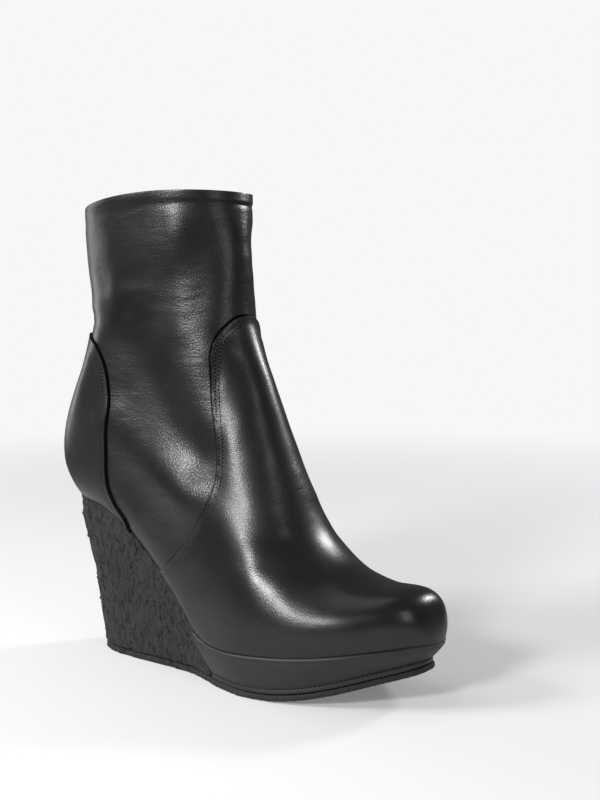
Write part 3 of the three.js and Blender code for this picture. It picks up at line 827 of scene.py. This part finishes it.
# %% Platform's edges
TOE_CENTRE = Vector((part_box("platform")[1].x - 40 * MM, 3 * MM, 0))
SIDE_STATIONS = 72
TOE_STATIONS = 110
RAY_STEP = 0.147 * MM
MISSES = 6  # a ray along an edge of the mesh can miss, so the side ends only after so many
BREAK = 0.25 * MM  # a longer leap of the ray's hit means that the side has ended
EASING = 4.5  # stations
LIP_CROWN = 1.6 * MM
BRIDGED = 32  # degrees to each side of the toe: the slot in the solid's rim lies there, and the lip goes over it
UP, DOWN = 1, -1
block = merged_copy("platform")
block_tree = BVHTree.FromBMesh(block)
foot_back = min(v.co.x for v in block.verts if v.co.z < platform_foot(v.co.x) + MM)
top_back = min(v.co.x for v in block.verts if v.co.z > platform_top(v.co.x) - MM)
block.free()


def block_edge(way, back):
    """The upper or lower edge of the block's side, from the back on the outer side round the toe and back."""
    spine = [(Vector((back + (TOE_CENTRE.x - back) * i / SIDE_STATIONS, 0, 0)), -90) for i in range(SIDE_STATIONS)]
    fan = [(TOE_CENTRE, -90 + 180 * i / TOE_STATIONS) for i in range(TOE_STATIONS + 1)]
    edge = []
    for centre, angle in (*spine, *fan, *((centre, 90) for centre, _ in reversed(spine))):
        outward = Vector((math.cos(math.radians(angle)), math.sin(math.radians(angle)), 0))
        x = centre.x + 0.9 * outward.x * (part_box("platform")[1].x - TOE_CENTRE.x)
        level, last, missed = (platform_top(x) + platform_foot(x)) / 2, None, 0
        while missed < MISSES:
            hit = block_tree.ray_cast(Vector((centre.x, centre.y, level)) + outward * 0.09, -outward, 0.085)[0]
            level += way * RAY_STEP
            if hit is None or (last is not None and (hit - last).to_2d().length > BREAK * (missed + 1)):
                missed += 1
            else:
                last, missed = hit, 0
        edge.append(last)
    return edge


def eased(line, width):
    """A line of points with a soft average over its neighbours."""
    reach = int(3 * width)
    weights = np.exp(-((np.arange(-reach, reach + 1) / width) ** 2) / 2)
    padded = np.concatenate([2 * line[:1] - line[reach:0:-1], line, 2 * line[-1:] - line[-2 : -reach - 2 : -1]])
    return np.stack([np.convolve(padded[:, i], weights / weights.sum(), "valid") for i in range(3)], axis=1)


tops, feet = block_edge(UP, top_back + 0.4 * MM), block_edge(DOWN, foot_back + 0.4 * MM)
first, last = (SIDE_STATIONS + round(TOE_STATIONS * (90 + turn) / 180) for turn in (-BRIDGED, BRIDGED))
for i in range(first + 1, last):
    share = (i - first) / (last - first)
    level = tops[first].z + (tops[last].z - tops[first].z) * share + LIP_CROWN * math.sin(math.pi * share)
    rise = tops[i] - feet[i]
    tops[i] = feet[i] + rise * ((level - feet[i].z) / rise.z)
met = [(a, b) for a, b in zip(tops, feet) if a is not None and b is not None]
cover_top, cover_foot = (eased(np.array(line), EASING) for line in zip(*met))
print("stations:", len(cover_top), "cover height in front", round((cover_top - cover_foot)[len(cover_top) // 2, 2], 4))

# %% Platform cover
ROLL = 1.15 * MM  # radius of the rolled upper edge
ROLL_OUT = 0.35 * MM
FOOT_ROUND = 0.7 * MM
STITCH_UP = 2.6 * MM
GROOVE = 0.3 * MM
COVER_DEEP = 4.5 * MM
SIDE_CROWN = 0.35 * MM


def cover_profile():
    """The cover's section: (outward, share of the height, down in addition), round from inside the top."""
    points = [(-COVER_DEEP, 0, 5 * MM), (-2.4 * MM, 0, 2.2 * MM)]
    for degrees in range(170, -41, -15):
        a = math.radians(degrees)
        points.append((ROLL_OUT - ROLL + ROLL * math.cos(a), 0, ROLL * (1 - math.sin(a))))
    points += [(-0.12 * MM, 0, 2.4 * MM), (0, 0, 3.1 * MM)]
    for t in (0.2, 0.4, 0.6, 0.8, 0.92):
        points.append((SIDE_CROWN * math.sin(math.pi * t), t, 3.1 * MM * (1 - t) - STITCH_UP * t))
    points += [(0, 1, -STITCH_UP - 0.55 * MM), (-GROOVE, 1, -STITCH_UP), (0, 1, -STITCH_UP + 0.55 * MM)]
    for degrees in range(0, 91, 30):
        a = math.radians(degrees)
        points.append((FOOT_ROUND * (math.cos(a) - 1), 1, -FOOT_ROUND * (1 - math.sin(a))))
    points.append((-COVER_DEEP, 1, 0))
    return points


def swept(rings):
    """A skin through rings of points: the first is drawn, each of the others is extruded from the one before."""
    bm = bmesh.new()
    loop = [bm.verts.new(p) for p in rings[0]]
    edges = [bm.edges.new(pair) for pair in zip(loop, loop[1:] + loop[:1])]
    ends = [list(edges)]
    for ring in rings[1:]:
        made = bmesh.ops.extrude_edge_only(bm, edges=edges)["geom"]
        fresh = {g for g in made if isinstance(g, bmesh.types.BMVert)}
        loop = [next(e.other_vert(v) for e in v.link_edges if e.other_vert(v) in fresh) for v in loop]
        for vertex, point in zip(loop, ring):
            vertex.co = point
        edges = [g for g in made if isinstance(g, bmesh.types.BMEdge) and all(v in fresh for v in g.verts)]
    ends.append(edges)
    for end in ends:
        bmesh.ops.triangulate(bm, faces=bmesh.ops.contextual_create(bm, geom=end)["faces"])
    bmesh.ops.recalc_face_normals(bm, faces=bm.faces)
    return bm


PLEAT_REACH = 14 * MM
rings, seam_line = [], []
tangents = np.gradient(cover_top, axis=0)
section = cover_profile()
groove_at = next(i for i, p in enumerate(section) if p[0] == -GROOVE)
for top, foot, tangent in zip(cover_top, cover_foot, tangents):
    top, foot = Vector(top), Vector(foot)
    outward = Vector((tangent[1], -tangent[0], 0)).normalized()
    pleats = math.exp(-(((top.x - cover_top[0][0]) / PLEAT_REACH) ** 2))
    ring = []
    for out_by, share, down in section:
        point = top.lerp(foot, share) + outward * out_by - Vector((0, 0, down))
        drawn = Vector((point.x * 300 + point.z * 120, point.y * 30, point.z * 45))
        rough = 0.3 * pleats * noise.noise(drawn) + 0.14 * noise.noise(point * 55)
        ring.append(point + outward * rough * MM)
    rings.append(ring)
    seam_line.append((ring[groove_at], outward))
cover = swept(rings)
piece("platform_cover", cover, "platform_cover", [cover_leather], "platform")
thread = bmesh.new()
print(add_stitches(thread, seam_line, 0.1 * MM, pitch=2.2 * MM), "stitches:", end=" ")
piece("platform_stitches", thread, "platform_cover", [waxed_thread, hole_shade_paint])

# %% [markdown]
# The wedge's cover is laid on wet and dragged: long streaks, short pits, and crumbs that stand off the edges. Such
# relief needs small even faces, which a subdivided cut solid doesn't have. So a copy of the solid is remeshed, then
# pressed and raised point by point. The upper hangs a little over it all round, so the block is drawn in under the
# upper. Crumbs are small rough balls that are set into the surface by a seeded draw.

# %% Wedge
def fine_copy(node, size, easing):
    """A copy of a CAD node as small even quads, with its corners eased."""
    bm = through_modifier(merged_copy(node), "REMESH", mode="VOXEL", voxel_size=size)
    for _ in range(easing):
        bmesh.ops.smooth_vert(bm, verts=bm.verts, factor=0.5, use_axis_x=True, use_axis_y=True, use_axis_z=True)
    bm.normal_update()
    return bm


WEDGE_GRID = 0.8 * MM
DRAWN_IN = 1.9 * MM
DRAWN_OVER = 14 * MM  # height under the seat over which the block widens again
wedge_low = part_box("wedge")[0]
CORE_BACK = wedge_low.x + 36 * MM
streak_axis = Matrix.Rotation(-STREAK_TURN, 3, "Y") @ Vector((0, 0, 1))
cross_axis = Matrix.Rotation(-STREAK_TURN, 3, "Y") @ Vector((1, 0, 0))


def dragged(co, length, width, seed):
    """Noise that is drawn out along the streaks, both sizes in mm."""
    return noise.noise(
        Vector(
            (
                co.dot(streak_axis) / (length * MM) + seed,
                co.dot(cross_axis) / (width * MM),
                co.y / (width * MM),
            )
        )
    )


wedge = fine_copy("wedge", WEDGE_GRID, 2)
for vertex in wedge.verts:
    co = vertex.co
    middle = Vector((max(co.x, CORE_BACK), 0, co.z))
    outward = (co - middle).normalized()
    tight = 1 - ramp(wedge_top(co.x) - co.z, 3 * MM, DRAWN_OVER)
    co -= outward * DRAWN_IN * tight
    height = 0.3 * dragged(co, 17, 2.2, 0) + 0.24 * dragged(co, 8, 1.5, 9)
    height -= 0.34 * ramp(dragged(co, 4.5, 1.1, 31), 0.3, 0.55)
    height += 0.3 * ramp(dragged(co, 7, 1.5, 57), 0.34, 0.62)
    vertex.co = co + vertex.normal * height * MM
wedge.normal_update()

draw = random.Random(5)
CRUMBS = 420
spots = [v for v in wedge.verts if abs(v.normal.z) < 0.5 and v.co.z < wedge_top(v.co.x) - 5 * MM]
crumb_shape = bmesh.new()
bmesh.ops.create_icosphere(crumb_shape, subdivisions=1, radius=1)
crumb_mesh = bpy.data.meshes.new("crumb")
crumb_shape.to_mesh(crumb_mesh)
crumb_shape.free()
places = []
for vertex in draw.sample(spots, CRUMBS):
    size = draw.uniform(0.25, 0.62) * MM
    shape = Matrix.Diagonal((size, size * draw.uniform(0.6, 1), size * draw.uniform(1, 2.2), 1))
    turn = Matrix.Rotation(-STREAK_TURN, 4, "Y") @ Matrix.Rotation(draw.uniform(0, math.pi), 4, "Z")
    places.append(Matrix.Translation(vertex.co + vertex.normal * size * 0.4) @ turn @ shape)
add_copies(wedge, crumb_mesh, places)
piece("wedge_cover", wedge, "wedge_cover", [crackled_cover], "wedge")

# %% [markdown]
# The outsole is a thin rubber sheet whose cut edge is a little rough, and the insole a leather-covered board. Each
# is a copy of its CAD solid: the outsole is remeshed for its rough edge, the insole only has its corners rounded.

# %% Outsole and insole
SOLE_JOINT = foot_back
outsole = fine_copy("outsole", 0.8 * MM, 1)
for vertex in outsole.verts:
    co, sideways = vertex.co, 1 - abs(vertex.normal.z)
    ragged = 0.22 * noise.noise(co * 420) + 0.1 * noise.noise(co * 900)
    ragged += 0.3 * dragged(co, 6, 1.5, 9) * (co.x < SOLE_JOINT)
    vertex.co = co + vertex.normal * sideways * MM * ragged
for face in outsole.faces:
    face.material_index = int(face.calc_center_median().x < SOLE_JOINT and abs(face.normal.z) < 0.7)
piece("outsole_sheet", outsole, "outsole_rubber", [sole_rubber, crackled_cover], "outsole")

insole = piece("insole_board", merged_copy("insole"), "lining", [lining_leather], "insole")
bevel = insole.modifiers.new("edge", "BEVEL")
bevel.width = 0.6 * MM
bevel.segments = 3
bevel.limit_method = "ANGLE"
bevel.angle_limit = math.radians(40)
bevel.harden_normals = True
